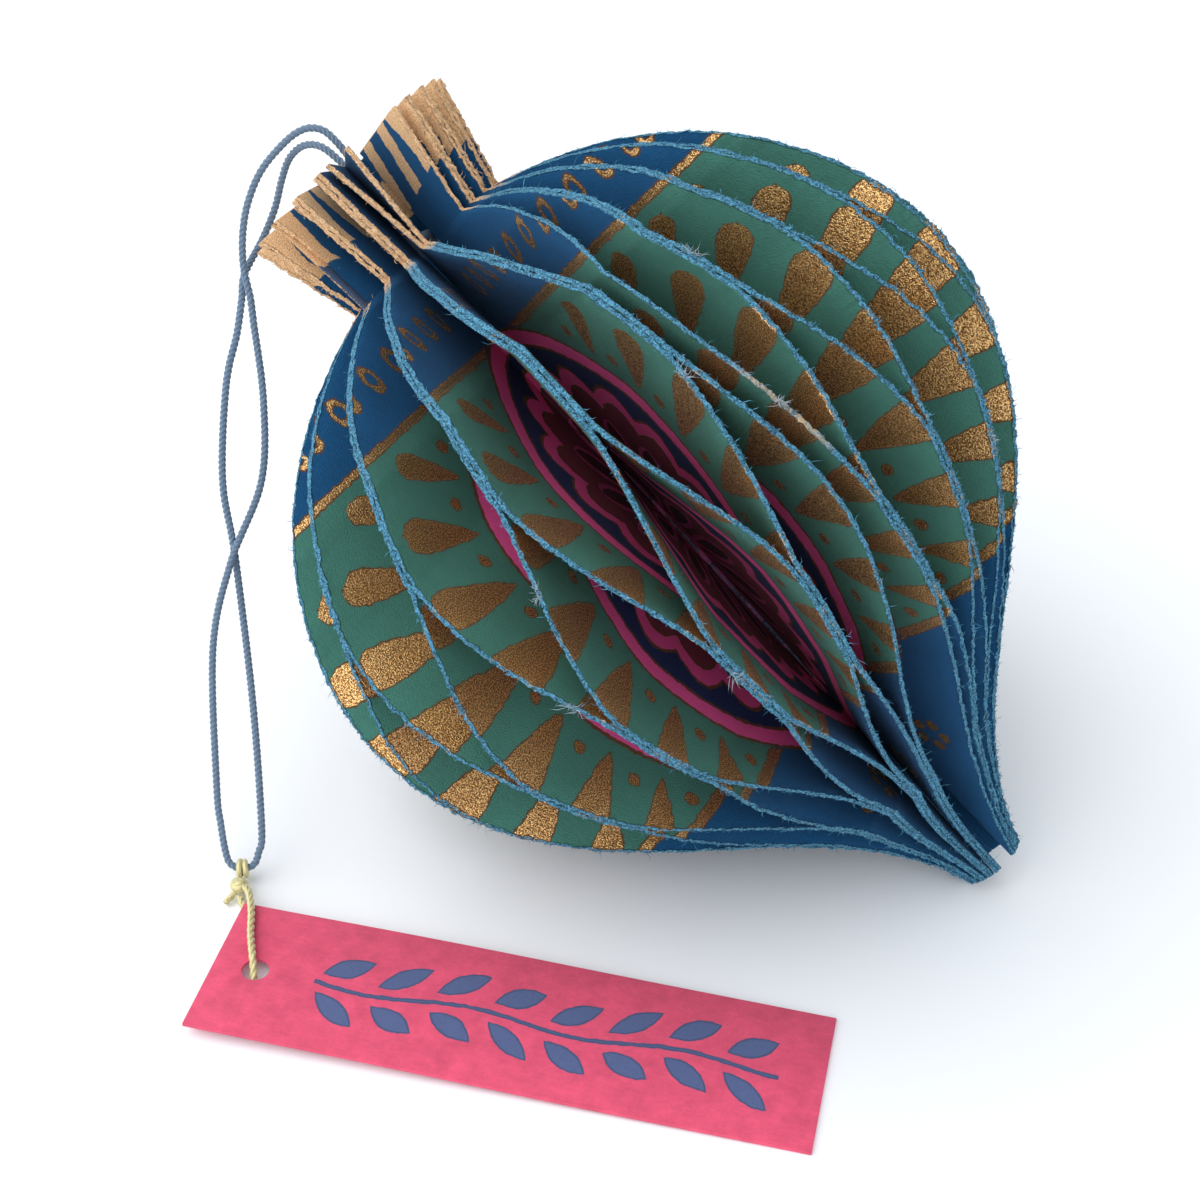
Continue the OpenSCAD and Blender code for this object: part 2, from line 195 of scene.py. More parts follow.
class BAUBLE_PG_colours(bpy.types.PropertyGroup):
    blue: colour("Blue", "Dye of the paper, and the colour of its neck and tip", (22, 75, 116))
    green: colour("Green", "Field round the rosette", (64, 114, 102))
    gold: colour("Gold", "Metallic ink", (234, 176, 112))
    outline: colour("Outline", "Bronze rim that the gold ink leaves round itself", (100, 66, 42))
    magenta: colour("Magenta", "Rings and scallops of the rosette", (228, 86, 154))
    maroon: colour("Maroon", "Ground of the rosette", (122, 50, 68))
    navy: colour("Navy", "Band inside the magenta ring", (24, 42, 89))
    edge: colour("Cut edge", "Bright fuzzy edge of the leaves", (86, 146, 176))
    cap_edge: colour("Cap edge", "Edge of the leaves at the cap", (238, 195, 150))
    cord: colour("Cord", "Hanging cord", (100, 122, 145))
    raw_edge: colour("Raw edge", "Undyed fibres where the cut has torn", (200, 180, 151))
    thread: colour("Thread", "Thread of the tag", (221, 210, 154))
    tag: colour("Tag", "Card of the tag", (221, 82, 113))
    tag_ink: colour("Tag ink", "Sprig printed on the tag", (82, 95, 136))
    # Painted highlight: the brightest grains of the metallic ink are painted into the base colour as glints
    painted_glint: colour("Glint", "Brightest grains of the metallic ink", (255, 216, 150))
    tuft: colour("Tuft", "Pale fibres at a torn place", (176, 192, 200))


class BAUBLE_PG_paper(bpy.types.PropertyGroup):
    stations: bpy.props.IntProperty(
        name="Stations", description="Rows of faces down a leaf", default=400, min=40, max=500)
    deckle: bpy.props.FloatProperty(
        name="Deckle", description="How far the cut edge wanders", default=0.0003, min=0, max=0.001,
        unit="LENGTH", precision=5)
    buckle: bpy.props.FloatProperty(
        name="Buckle", description="How far a leaf bulges between its glue rows", default=0.00018, min=0,
        max=0.001, unit="LENGTH", precision=5)
    fibres: bpy.props.IntProperty(
        name="Fibres", description="Loose fibres along the cut edge of each leaf", default=420, min=0,
        max=500)


class BAUBLE_PG_stage(bpy.types.PropertyGroup):
    key: bpy.props.FloatProperty(
        name="Key light", description="Power of the large lamp on the left", default=12.6, min=0,
        unit="POWER")
    front: bpy.props.FloatProperty(
        name="Front light", description="Power of the soft lamp beside the camera", default=7.0, min=0,
        unit="POWER")
    sky: bpy.props.FloatProperty(
        name="Sky", description="Strength of the light from all round", default=0.83, min=0, max=2)


# Shared tools


def select_only(*objects):
    bpy.ops.object.select_all(action="DESELECT")
    for o in objects:
        o.select_set(True)
    bpy.context.view_layer.objects.active = objects[0]


def active_piece():
    return bpy.context.view_layer.objects.active


def added(primitive, **settings):
    """A new primitive, with nothing else selected"""
    bpy.ops.object.select_all(action="DESELECT")
    primitive(**settings)
    return active_piece()


def note(piece, **values):
    """Write a number for each point of a piece under each name, for its material to read"""
    for name, numbers in values.items():
        piece.data.attributes.new(name, "FLOAT", "POINT").data.foreach_set("value", numbers)


def unit(v):
    return v / np.linalg.norm(v, axis=-1, keepdims=True)


def smooth_route(points, step):
    """Even steps along the smooth curve through the points of a route"""
    p = np.array([points[0], *points, points[-1]], float)
    fine = []
    for j in range(1, len(p) - 2):
        a, b, c, d = p[j - 1:j + 3]
        for t in np.linspace(0, 1, ROUTE_POINTS, endpoint=False):
            fine.append(0.5 * (2 * b + (c - a) * t + (2 * a - 5 * b + 4 * c - d) * t ** 2
                               + (3 * b - a - 3 * c + d) * t ** 3))
    fine = np.array([*fine, p[-1]])
    along = np.r_[0, np.cumsum(np.linalg.norm(np.diff(fine, axis=0), axis=1))]
    even = np.linspace(0, along[-1], max(2, round(along[-1] / step)) + 1)
    return np.stack([np.interp(even, along, fine[:, k]) for k in range(3)], 1), along[-1]


def mesh_piece(name, points, faces, material):
    """A smooth object of its own from points and faces, with its place in its mesh"""
    mesh = bpy.data.meshes.new(name)
    mesh.from_pydata([tuple(p) for p in points], [], [tuple(f) for f in faces])
    mesh.materials.append(material)
    mesh.shade_smooth()
    piece = bpy.data.objects.new(name, mesh)
    bpy.context.scene.collection.objects.link(piece)
    return piece


# A ply's radius as a share of the cord's, its sides, and how it swells and thins along the way
PLY_SHARE, PLY_SIDES, PLY_WOBBLE, PLY_WOBBLE_SCALE = 0.56, 8, 0.05, 2200
# Points of a route's smooth curve between two given ones, before it is divided into even steps
ROUTE_POINTS = 24


def twisted_cord(name, route, diameter, plies, lay, material, step):
    """A cord of several plies laid round each other, swept along a route"""
    centre, length = smooth_route(route, step)
    along = unit(np.gradient(centre, axis=0))
    across = [unit(np.cross(along[0], (0.35, -0.72, 0.6)))]
    for t in along[1:]:
        across.append(unit(across[-1] - t * (across[-1] @ t)))
    across = np.array(across)
    third = np.cross(along, across)
    ply_r = diameter / 2 * PLY_SHARE
    orbit = diameter / 2 - ply_r
    points, faces, twist = [], [], []
    turns = np.arange(len(centre)) * (length / (len(centre) - 1)) / lay * 2 * math.pi
    for ply in range(plies):
        first = len(points)
        for k, c in enumerate(centre):
            a = turns[k] + 2 * math.pi * ply / plies
            middle = c + orbit * (math.cos(a) * across[k] + math.sin(a) * third[k])
            wobble = 1 + PLY_WOBBLE * noise.noise(Vector(middle) * PLY_WOBBLE_SCALE)
            for side in range(PLY_SIDES):
                b = 2 * math.pi * side / PLY_SIDES
                points.append(middle + ply_r * wobble * (math.cos(b) * across[k] + math.sin(b) * third[k]))
                twist.append(b + a)
        for k in range(len(centre) - 1):
            for side in range(PLY_SIDES):
                a, b = first + k * PLY_SIDES + side, first + k * PLY_SIDES + (side + 1) % PLY_SIDES
                faces.append((a, b, b + PLY_SIDES, a + PLY_SIDES))
        last = first + (len(centre) - 1) * PLY_SIDES
        faces.append([first + side for side in reversed(range(PLY_SIDES))])
        faces.append([last + side for side in range(PLY_SIDES)])
    piece = mesh_piece(name, points, faces, material)
    note(piece, twist=twist)
    return piece, length, centre


# Materials


class Ink:
    """A number that a material works out at each point of a surface, such as a distance on the paper"""

    def __init__(self, drawing, socket):
        self.drawing, self.socket = drawing, socket

    def _with(self, operation, *others):
        return self.drawing.number(operation, self, *others)

    def __add__(self, other):
        return self._with("ADD", other)

    def __sub__(self, other):
        return self._with("SUBTRACT", other)

    def __mul__(self, other):
        return self._with("MULTIPLY", other)

    def __truediv__(self, other):
        return self._with("DIVIDE", other)

    def __rsub__(self, other):
        return self.drawing.number("SUBTRACT", other, self)

    def power(self, other):
        return self._with("POWER", other)

    def root(self):
        return self._with("SQRT")

    def sine(self):
        return self._with("SINE")

    def size(self):
        return self._with("ABSOLUTE")

    def most(self, other):
        return self._with("MAXIMUM", other)

    def least(self, other):
        return self._with("MINIMUM", other)

    def folded(self, pitch, drawn=None):
        """Place in the slice that this number is in, from the slice's middle. The slices are a pitch apart,
        and each can be drawn at another width."""
        return (self._with("DIVIDE", pitch)._with("FRACT") - 0.5) * (drawn or pitch)

    def under(self, limit, soft=0.12):
        """1 where this number is under a limit, 0 where it is over, with a soft line between"""
        return self.drawing.step(limit - self, soft)

    def over(self, limit, soft=0.12):
        return self.drawing.step(self - limit, soft)

    def near(self, value, reach, soft=0.12):
        return (self - value).size().under(reach, soft)


class Drawing:
    """Builds a material's nodes one after another"""

    def __init__(self, name, **shader):
        self.material = bpy.data.materials.new(name)
        self.material.use_nodes = True
        self.tree = self.material.node_tree
        self.shader = self.tree.nodes["Principled BSDF"]
        for socket, value in shader.items():
            self.shader.inputs[socket.replace("_", " ")].default_value = value

    def node(self, kind, **settings):
        made = self.tree.nodes.new(kind)
        for key, value in settings.items():
            setattr(made, key, value)
        return made

    def feed(self, target, value):
        if isinstance(value, Ink):
            self.tree.links.new(value.socket, target)
        elif isinstance(value, bpy.types.NodeSocket):
            self.tree.links.new(value, target)
        elif hasattr(value, "__len__") and len(target.default_value) == 4:
            target.default_value = (*value, 1)
        else:
            target.default_value = value

    def number(self, operation, *values):
        made = self.node("ShaderNodeMath", operation=operation)
        for target, value in zip(made.inputs, values):
            self.feed(target, value)
        return Ink(self, made.outputs[0])

    def step(self, value, soft):
        """0 under 0 and 1 over it, with a slope between"""
        made = self.node("ShaderNodeMath", operation="MULTIPLY_ADD", use_clamp=True)
        self.feed(made.inputs[0], value)
        made.inputs[1].default_value = 1 / soft
        made.inputs[2].default_value = 0.5
        return Ink(self, made.outputs[0])

    def attribute(self, name):
        return Ink(self, self.node("ShaderNodeAttribute", attribute_name=name).outputs["Fac"])

    def vector(self, x, y, z):
        made = self.node("ShaderNodeCombineXYZ")
        for target, value in zip(made.inputs, (x, y, z)):
            self.feed(target, value)
        return made.outputs[0]

    def place(self):
        """Object coordinates"""
        return self.node("ShaderNodeTexCoord").outputs["Object"]

    def grain(self, where, scale, detail=2.0, rough=0.5):
        """Noise from 0 to 1"""
        made = self.node("ShaderNodeTexNoise")
        self.tree.links.new(where, made.inputs["Vector"])
        made.inputs["Scale"].default_value = scale
        made.inputs["Detail"].default_value = detail
        made.inputs["Roughness"].default_value = rough
        return Ink(self, made.outputs["Fac"])

    def mix(self, under, over, share):
        made = self.node("ShaderNodeMix", data_type="RGBA")
        self.feed(made.inputs[0], share)
        self.feed(made.inputs[6], under)
        self.feed(made.inputs[7], over)
        return made.outputs[2]

    def shade(self, tint, value):
        """A colour made lighter or darker by a number round 1"""
        made = self.node("ShaderNodeVectorMath", operation="SCALE")
        self.feed(made.inputs[0], tint)
        self.feed(made.inputs["Scale"], value)
        return made.outputs[0]

    def bump(self, height, distance, strength=1.0):
        made = self.node("ShaderNodeBump")
        made.inputs["Distance"].default_value = distance
        made.inputs["Strength"].default_value = strength
        self.feed(made.inputs["Height"], height)
        self.tree.links.new(made.outputs[0], self.shader.inputs["Normal"])

    def wear(self, socket, value):
        self.feed(self.shader.inputs[socket], value)


def tinted(value, by):
    return tuple(c * by for c in value)


def distance(x, y):
    return (x * x + y * y).root()


def dot(out, between):
    """A dot of the print, from the distances out and along to its centre"""
    return DOT_R - distance(out, between)


def gold_shapes(d, s, r, ring, turn, leaf, cap):
    """The metallic ink's lines, petals and dots: a number that is over 0 inside a shape"""
    shapes = (NECK_LINE_HALF_W - (s - NECK_LINE).size()).most(FOOT_LINE_HALF_W - (s - FOOT_LINE).size())
    # Petals and dots round the disc are drawn in one slice of the turn. The petals shrink towards the spine.
    small = 1.12 - turn * 0.7
    length = small * PETAL_L
    along = ring - PETAL_START
    side = (ring * turn.folded(PETAL_TURN)).size()
    u = (along / length).most(0.0).least(1.0)
    half_w = u.power(0.7) * (1 - u.power(9)).most(0.0).root() * (small * PETAL_HALF_W)
    petals = (half_w - side).least(along).least(length - along).least((FAN_END_TURN - turn) * FAN_END_R)
    dots = dot(ring - DOT_RING, ring * (turn + PETAL_TURN / 2).folded(PETAL_TURN))
    shapes = shapes.most(petals).most(dots)
    shapes = shapes.least(ring - (DISC_R + DISC_MARGIN)).least(SHAPES_END - s).least(s - SHAPES_START)
    # Small loops round the neck, and a small flower of dots near the tip
    loop = distance(r.folded(LOOP_PITCH, LOOP_SLICE), (s - LOOP_DROP) * 0.8)
    shapes = shapes.most((LOOP_HALF_W - (loop - LOOP_R).size()).least(r - LOOPS_START))
    x, y = r - FLOWER_OUT, s - FLOWER_DROP
    angle = d.number("ARCTAN2", y, x)
    shapes = shapes.most(dot(distance(x, y) - FLOWER_R, angle.folded(FLOWER_TURN, FLOWER_TURN * FLOWER_R)))
    # Cap: slanted stripes and a gold corner at the rim
    stripes = STRIPE_HALF_W - (r + s * STRIPE_SLANT + STRIPE_SHIFT).folded(STRIPE_PITCH).size()
    stripes = stripes.least(-STRIPE_END - s - r * STRIPE_END_SLANT)
    corner = (-CORNER_H - s).least(r - CORNER_R)
    cap_shapes = stripes.most(corner) - leaf.over(PLAIN_CAPS_FROM, 0.1) * BLANK
    return d.number("MULTIPLY_ADD", cap, cap_shapes - shapes, shapes)


def rosette(d, c, tint, ring, turn):
    """Inside the disc: ring, navy band, scallops, and a flower round the spine"""
    tint = d.mix(tint, c.outline, ring.under(DISC_R))
    tint = d.mix(tint, c.magenta, ring.near(RING_R, RING_HALF_W))
    tint = d.mix(tint, c.navy, ring.under(BAND_R))
    scallop = ring - (turn * SCALLOPS).sine().size() * SCALLOP_H
    for ink, radius in zip((c.outline, c.magenta, c.outline, c.maroon), SCALLOP_RADII):
        tint = d.mix(tint, ink, scallop.under(radius))
    u = ((ring - CORE_PETAL_START) / CORE_PETAL_L).most(0.0).least(1.0)
    half_w = u.power(0.7) * (1 - u.power(3)).most(0.0).root() * CORE_PETAL_HALF_W
    petal = half_w - ring * turn.folded(CORE_PETAL_TURN).size()
    tint = d.mix(tint, tinted(c.magenta, 0.7), petal.over(0.0) * ring.under(CORE_PETAL_END))
    tint = d.mix(tint, tinted(c.maroon, 0.4), petal.over(0.9))
    return d.mix(tint, c.magenta, ring.near(EYE_R, EYE_HALF_W))


def printed_paper():
    """Rag paper dyed blue and printed on both faces: bands, a rosette round the middle of the spine, and
    petals and dots in metallic ink. The print is drawn from distances on the flat sheet, in millimetres:
    s down from the neck and r out from the spine."""
    c = bpy.context.scene.bauble_colours
    d = Drawing("printed_rag_paper", Sheen_Weight=0.03, Specular_IOR_Level=0.14)
    flat = d.node("ShaderNodeSeparateXYZ")
    d.tree.links.new(d.node("ShaderNodeUVMap", uv_map="sheet").outputs[0], flat.inputs[0])
    sheet_s, sheet_r = Ink(d, flat.outputs[0]) * UV_MM, Ink(d, flat.outputs[1]) * UV_MM
    leaf, margin, rim = d.attribute("leaf"), d.attribute("margin"), d.attribute("rim")
    paper = d.vector(sheet_s, sheet_r, leaf * 7.31)
    crossed = d.vector(sheet_r, sheet_s, leaf * 3.7)
    s = sheet_s + (d.grain(paper, 0.9, 2, 0.6) - 0.5) * 0.8
    r = sheet_r + (d.grain(crossed, 0.9, 2, 0.6) - 0.5) * 0.8
    speck = d.grain(paper, 5.6, 1, 0.6)
    fibre = d.grain(d.vector(sheet_s * 0.3, sheet_r, leaf * 5.1), 2.4, 3, 0.65)
    cloud = d.grain(paper, 0.11, 1)
    tooth = d.grain(d.place(), 4200, 2, 0.7)

    up = (s - DISC_MIDDLE).size()
    ring = distance(up, r)
    turn = d.number("ARCTAN2", up, r)
    cap = s.under(CAP_START)
    shapes = gold_shapes(d, s, r, ring, turn, leaf, cap)
    tint = d.mix(c.blue, c.green, s.near(FIELD_MIDDLE, FIELD_HALF_L))
    tint = d.mix(rosette(d, c, tint, ring, turn), c.blue, cap)

    # Dye and fibres, then the metallic ink with its bronze outline and its grains, whose dark and bright
    # specks are painted sparkle: painted shade and painted highlights
    tint = d.shade(tint, cloud * 0.4 + fibre * 0.36 + speck * 0.2 + 0.52)
    gold = shapes.over(0.0)
    # Grain of the ink with painted sparkle: it mixes a darkened gold as painted shade with the gold, and it
    # also grains the bronze outline, the cap's ink and the roughness
    grain_and_painted_sparkle = speck.over(0.48, 0.22)
    # Painted highlight: where the grain noise is highest, the ink takes the glint colour
    painted_glint = speck.over(0.585, 0.08)
    ink = d.mix(d.mix(tinted(c.gold, 0.2), c.gold, grain_and_painted_sparkle), c.painted_glint, painted_glint)
    ink = d.mix(ink, d.shade(c.cap_edge, grain_and_painted_sparkle * 0.2 + 0.78), cap * 0.8)
    bronze = d.mix(tinted(c.outline, 0.55), c.outline, grain_and_painted_sparkle)
    tint = d.mix(tint, bronze, shapes.over(-0.2, 0.2) * (1 - cap))
    tint = d.mix(tint, ink, gold)

    # Bare fibres along the cut, undyed where leaf 1 is torn
    ragged = speck * 0.5 + fibre * 0.5 - 0.5
    ends = (sheet_s - LEAF_MIDDLE).size().over(LEAF_HALF_L - 0.08, 0.1)
    bare = (margin + ragged * 1.1).under(0.1, 0.14).most(rim).most(ends)
    cap_share = (sheet_s + ragged * 4).under(0.8, 1.2)
    grit = tooth.over(0.5, 0.22)
    torn = leaf.near(1.0, 0.5, 0.1) * s.near(40.0, 6.0, 3.0) * (ragged * 3 + 0.75).least(1.0).most(0.0)
    fuzz = d.mix(d.mix(tinted(c.edge, 0.24), tinted(c.edge, 1.35), grit),
                 d.mix(tinted(c.cap_edge, 0.7), tinted(c.cap_edge, 1.12), grit), cap_share)
    fuzz = d.mix(fuzz, d.shade(c.raw_edge, grit * 0.5 + 0.6), torn)
    d.wear("Base Color", d.mix(tint, fuzz, bare))
    shine = gold * (1 - bare) * (1 - cap * 0.8)
    d.wear("Metallic", shine * 0.86)
    d.wear("Roughness", 0.88 - shine * (grain_and_painted_sparkle * 0.2 + 0.4))
    # The relief leaves the print out, because a bump works out its height three times
    d.bump(speck * 0.7 + tooth * margin.under(0.2, 0.2).most(rim) * 1.8, 0.00025, 0.8)
    return d.material


def cotton_cord():
    c = bpy.context.scene.bauble_colours
    d = Drawing("cotton_cord", Roughness=0.85, Sheen_Weight=0.5, Sheen_Roughness=0.5, Specular_IOR_Level=0.25)
    where = d.place()
    yarn = d.grain(where, 5200, 3, 0.6)
    patch = d.grain(where, 260, 2)
    lay = (d.attribute("twist") * 3.0).sine() * 0.5 + 0.5
    d.wear("Base Color", d.shade(c.cord, yarn * 0.45 + patch * 0.3 + lay * 0.16 + 0.5))
    d.bump(yarn * 0.6 + lay * 0.4, 0.00006, 0.8)
    return d.material


def metallic_thread():
    c = bpy.context.scene.bauble_colours
    d = Drawing("metallic_thread", Metallic=0.3, Roughness=0.4, Sheen_Weight=0.3)
    where = d.place()
    foil = d.grain(where, 3800, 2, 0.6)
    lay = (d.attribute("twist") * 4.0).sine() * 0.5 + 0.5
    d.wear("Base Color", d.mix(tinted(c.thread, 0.62), c.thread, foil * 0.6 + lay * 0.3 + 0.25))
    d.bump(foil * 0.4 + lay * 0.6, 0.00004, 0.7)
    return d.material


def tag_card():
    """Soft card with a few long fibres in it and a sprig printed along it, drawn in millimetres"""
    c = bpy.context.scene.bauble_colours
    d = Drawing("tag_card", Roughness=0.8, Sheen_Weight=0.1, Specular_IOR_Level=0.25)
    where = d.place()
    tooth = d.grain(where, 2600, 4, 0.65)
    mottle = d.grain(where, 420, 4, 0.6)
    along, across = d.attribute("along") * 1000, d.attribute("across") * 1000
    long_fibre = d.grain(d.vector(along * 0.25, across, 0.0), 2.2, 3, 0.6)
    flat = d.attribute("face")
    wobble = (d.grain(where, 900, 3) - 0.5) * 0.5
    v = across - (along * 0.24).sine() * 0.7 + wobble
    cell = (along - SPRIG_START).folded(SPRIG_PITCH)
    lean = math.radians(32)
    out = v.size() - SPRIG_LEAF_OUT
    x = (cell * math.cos(lean) + out * math.sin(lean)) / SPRIG_LEAF_HALF_L
    y = out * math.cos(lean) - cell * math.sin(lean)
    leaves = (1 - x * x) * SPRIG_LEAF_HALF_W - y.size()
    sprig = (STEM_HALF_W - v.size()).most(leaves).least(along - SPRIG_START).least(SPRIG_END - along)
    tint = d.mix(tinted(c.tag, 0.82), tinted(c.tag, 1.06), mottle.over(0.48, 0.4))
    tint = d.shade(tint, tooth * 0.24 + long_fibre * 0.22 + 0.77)
    tint = d.mix(tint, tinted(c.tag_ink, 0.7), sprig.over(0.0) * flat)
    tint = d.mix(tint, d.shade(c.tag_ink, tooth * 0.4 + 0.8), sprig.over(0.28) * flat)
    d.wear("Base Color", tint)
    d.bump(tooth * 0.7 + long_fibre * 0.3, 0.00007, 0.7)
    return d.material


# Leaves


def bezier(p, t):
    p = np.array(p, float)
    t = np.asarray(t, float)[:, None]
    return (1 - t) ** 3 * p[0] + 3 * (1 - t) ** 2 * t * p[1] + 3 * (1 - t) * t ** 2 * p[2] + t ** 3 * p[3]


def outline_stations(count):
    """Distances down a leaf, and its radius at each: cap, shoulder and foot"""
    cap, shoulder = max(6, count // 10), count // 3
    s = np.linspace(-CAP_H, 0, cap, endpoint=False)
    upper = bezier(SHOULDER, np.linspace(0, 1, shoulder, endpoint=False))
    lower = bezier(FOOT, np.linspace(0, 1, count - cap - shoulder + 1))
    return (np.r_[s, upper[:, 0], lower[:, 0]],
            np.r_[NECK_R - (RIM_R - NECK_R) * s / CAP_H, upper[:, 1], lower[:, 1]])


def opening(s, course, widest):
    """How far the seam opens at each station, from shares of its widest at distances down from the neck"""
    drops, shares = zip(*course)
    return np.interp(s, drops, np.multiply(shares, widest))


def neck_gap(s):
    return opening(s, NECK_OPENING, RIM_OPEN)


def foot_gap(s):
    return opening(s, FOOT_OPENING, TIP_OPEN)


def fan(x, s):
    """Angle round the axis of the outer edge, for a place in the fan at each station"""
    t = x / (LEAVES - 1)
    turn = 2 * math.pi * t
    near = np.sign(1 - 2 * t) * np.abs(1 - 2 * t) ** NEAR_SEAM_POWER
    return (SEAM_OPEN / 2 + (360 - SEAM_OPEN) * t - CROWD * np.sin(turn) - CROWD_NEAR * np.sin(2 * turn)
            - CROWD_SIDE * (1 - np.cos(turn)) + neck_gap(s) * (0.5 - t) + foot_gap(s) * near / 2)


def spine_fan(x, s):
    """Angle round the axis of the spine"""
    t = (x + 0.5) / LEAVES
    return 360 * t + (neck_gap(s) + foot_gap(s)) * (0.5 - t)


def soft(u):
    return (1 - SOFTNESS) * u + SOFTNESS * u * u * (3 - 2 * u)


def middle_share(s):
    """Share of the way from the outer glue rows to the middle one"""
    rise = soft(np.clip((s - UPPER_END) / (MIDDLE_START - UPPER_END), 0, 1))
    fall = 1 - soft(np.clip((s - MIDDLE_END) / (LOWEST_START - MIDDLE_END), 0, 1))
    return np.where(s < MIDDLE_END, rise, fall)


def crowding(r):
    return np.minimum(1, (r - CORE_R) / CROWD_REACH)


def glued(i, s):
    """Place of leaf i in the fan at each station, and the side of the glued face that it lies on"""
    first, final, odd = i == 0, i == LEAVES - 1, i % 2 == 1
    outer_place, outer_side = (0, 0) if first else (i + 0.5, -1) if odd else (i - 0.5, 1)
    middle_place, middle_side = (i, 0) if final else (i - 0.5, 1) if odd else (i + 0.5, -1)
    m = middle_share(s)
    return (1 - m) * outer_place + m * middle_place, (1 - m) * outer_side + m * middle_side


def rim_parting(i, s):
    return np.where(s >= 0, 0, RIM_SHARES.get(i, 0.0) * RIM_PART * s / CAP_H)


def polar(s, r, turn, off):
    """Points at a radius and an angle round the axis, moved off sideways"""
    t = np.radians(turn)
    across = r * np.cos(t) - off * np.sin(t)
    over = r * np.sin(t) + off * np.cos(t)
    return np.stack(np.broadcast_arrays(-s, across, over), -1)


def laid(p):
    """From the bauble's own frame, in millimetres, to where it lies on the table, in metres"""
    c, k = math.cos(math.radians(REST_TILT)), math.sin(math.radians(REST_TILT))
    lying = np.stack([-c * p[..., 0] - k * p[..., 1], -p[..., 2], k * p[..., 0] - c * p[..., 1]], -1)
    return (lying - HOME) * MM


# Places from the spine to the edge of a leaf, and those on the cut itself from face to face
ACROSS = (0.0, 0.14, 0.3, 0.46, 0.62, 0.76, 0.87, 0.945, 0.985, 1.0)
ON_CUT = (-0.55, 0.0, 0.55)
# The cut edge in millimetres: how far it is rounded, set back and frayed
CUT_ROUND, CUT_BACK, CUT_FRAY = 0.14, 0.1, 0.14
# Share of the paper's thickness that the cut presses away, and the share of the width where that starts
CUT_PRESS, CUT_PRESS_FROM = 0.28, 0.93
TEAR_SEED, FIBRE_SEED = 71, 5
# How far a dressed leaf may reach past its solid
PLACE_PLAY = 0.0012


def leaf_section():
    """The way round a leaf's cross-section: share of the way from spine to edge, and side from -1 to 1"""
    front = [(v, -1.0) for v in ACROSS]
    rim = [(1.0, w) for w in ON_CUT]
    return np.array(front + rim + [(v, 1.0) for v in reversed(ACROSS)])


def wander(rows, pitch, seed):
    """Smooth noise along the stations"""
    return np.array([noise.noise(Vector((x / pitch, seed * 3.17, seed * 0.71))) for x in rows])


def column(a):
    return a[:, None]


def arch(s, start, end, power):
    """A bulge from 0 at both ends of a stretch to 1 inside it"""
    return np.sin(np.pi * np.clip((s - start) / (end - start), 0, 1) ** power).clip(0)


def shape_leaf(i, stations, paper):
    """Points of leaf i for each station and place in the cross-section, with its flat coordinates"""
    s, r = stations
    x, side = glued(i, s)
    inner = SEAM_TURN + spine_fan(x, s)
    crowd = crowding(r)
    outer = inner + crowd * (fan(x, s) - spine_fan(x, s)) + rim_parting(i, s)
    t = SPINE_T + (EDGE_T - SPINE_T) * crowd
    run = np.r_[0, np.cumsum(np.hypot(np.diff(s), np.diff(r)))]
    torn = np.random.default_rng(TEAR_SEED + i)
    ragged = (wander(run, 2.6, i + 1) * 0.5 + wander(run, 1.2, i + 51) * 0.6
              + torn.uniform(-0.4, 0.4, len(s))) * paper.deckle / MM
    section = leaf_section()
    v, w = section[:, 0][None, :], section[:, 1][None, :]
    spine = polar(column(s), CORE_R, column(inner), (column(side) + w) * SPINE_T / 2)
    tufts = torn.uniform(-CUT_FRAY, CUT_FRAY, (len(s), len(section)))
    rounded = np.where(v < 1, 0, CUT_ROUND * np.sqrt(np.maximum(0, 1 - w * w)) - CUT_BACK + tufts)
    reach = rounded + column(r) + column(ragged) * v ** 8
    puff = np.where(v > 0.97, 1 + torn.uniform(-0.34, 0.2, (len(s), len(section))), 1)
    # The cut pressed the paper thinner right at its edge, but not on the glued face
    near_cut = np.clip((v - CUT_PRESS_FROM) / (1 - CUT_PRESS_FROM), 0, 1)
    thin = 1 - CUT_PRESS * near_cut * (1 - np.clip(-w * column(side), 0, 1))
    edge = polar(column(s), reach, column(outer), (column(side) + w * puff * thin) * column(t) / 2)
    points = spine + (edge - spine) * v[..., None]
    # Between its glue rows the paper bulges a little, and both faces move together
    free = arch(s, UPPER_END, MIDDLE_START, 0.9) + arch(s, MIDDLE_END, LOWEST_START, 1.0)
    flat_r = CORE_R + (column(r) - CORE_R) * v
    bulge = np.array([[noise.noise(Vector((a / 9, b / 8, i * 2.9))) for b in row]
                      for a, row in zip(s, flat_r[:, :len(ACROSS)])])
    mirrored = np.concatenate([bulge, np.repeat(bulge[:, -1:], len(ON_CUT), 1), bulge[:, ::-1]], 1)
    a = np.radians(column(outer))
    push = mirrored * column(free) * paper.buckle / MM * np.sin(np.pi * np.minimum(1, v * 1.1)) ** 0.5
    points[..., 1] += -np.sin(a) * push
    points[..., 2] += np.cos(a) * push
    points = laid(points)
    points[..., 2] = np.maximum(points[..., 2], 0)
    return points, np.broadcast_to(column(s), flat_r.shape), flat_r, (column(r) - CORE_R) * (1 - v), section


